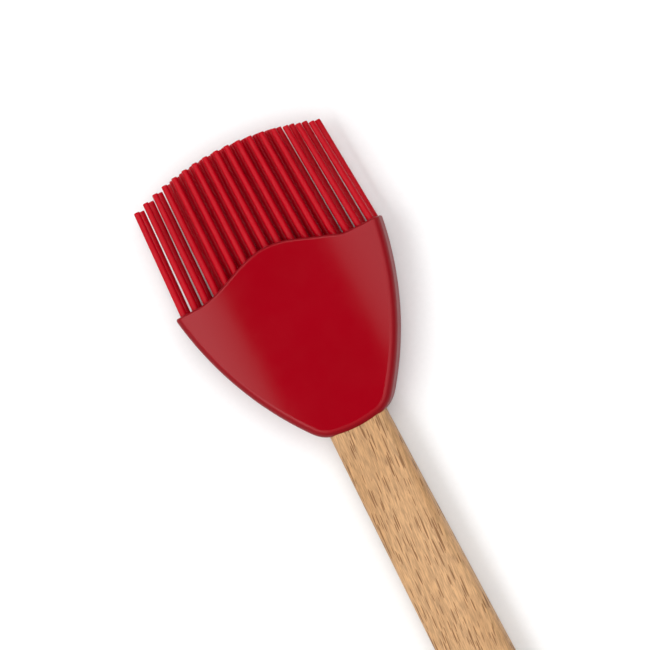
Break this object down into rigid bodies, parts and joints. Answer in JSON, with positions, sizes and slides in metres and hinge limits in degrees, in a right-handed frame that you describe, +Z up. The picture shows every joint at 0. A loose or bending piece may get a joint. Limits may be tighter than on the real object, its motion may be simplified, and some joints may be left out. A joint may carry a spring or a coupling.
{
  "type": "pastry brush",
  "caption": "Flat silicone pastry brush with flexing rows of round bristles in a shield-shaped sleeve that pulls off a flat beech handle.",
  "frame": {"origin": "under the middle of the brush's length and width, on the surface that it lies on, level with the sleeve's lower face", "axes": "+Y along the brush towards the bristle tips, +X across its width, +Z up through its thickness"},
  "size_m": [0.0548, 0.262, 0.0134],
  "materials": {
    "beech": "sanded and oiled",
    "sleeve_silicone": "satin",
    "bristle_silicone": "satin",
    "core_nylon": "moulded"
  },
  "bodies": {
    "handle": {"handle": "beech"},
    "head": {"head_sleeve": "sleeve_silicone", "head_core": "core_nylon", "front_comb": "bristle_silicone", "middle_comb": "bristle_silicone", "back_comb": "bristle_silicone"},
    "front_row": {"front_bristles": "bristle_silicone"},
    "middle_row": {"middle_bristles": "bristle_silicone"},
    "back_row": {"back_bristles": "bristle_silicone"}
  },
  "joints": [
    {"name": "head_pull", "type": "slide", "parent": "handle", "child": "head", "axis": [0, 1, 0], "range_m": [0, 0.04]},
    {"name": "front_flex", "type": "hinge", "parent": "head", "child": "front_row", "pos_m": [0, 0.1063, 0.0093], "axis": [1, 0, 0], "range_deg": [-45, 45], "stiffness_Nm_per_rad": 0.01},
    {"name": "middle_flex", "type": "hinge", "parent": "head", "child": "middle_row", "pos_m": [0, 0.1063, 0.0067], "axis": [1, 0, 0], "range_deg": [-45, 45], "stiffness_Nm_per_rad": 0.01},
    {"name": "back_flex", "type": "hinge", "parent": "head", "child": "back_row", "pos_m": [0, 0.1063, 0.0041], "axis": [1, 0, 0], "range_deg": [-45, 45], "stiffness_Nm_per_rad": 0.01}
  ],
  "couplings": [
    {"joint": "middle_flex", "follows": "front_flex", "ratio": 1},
    {"joint": "back_flex", "follows": "front_flex", "ratio": 1}
  ]
}
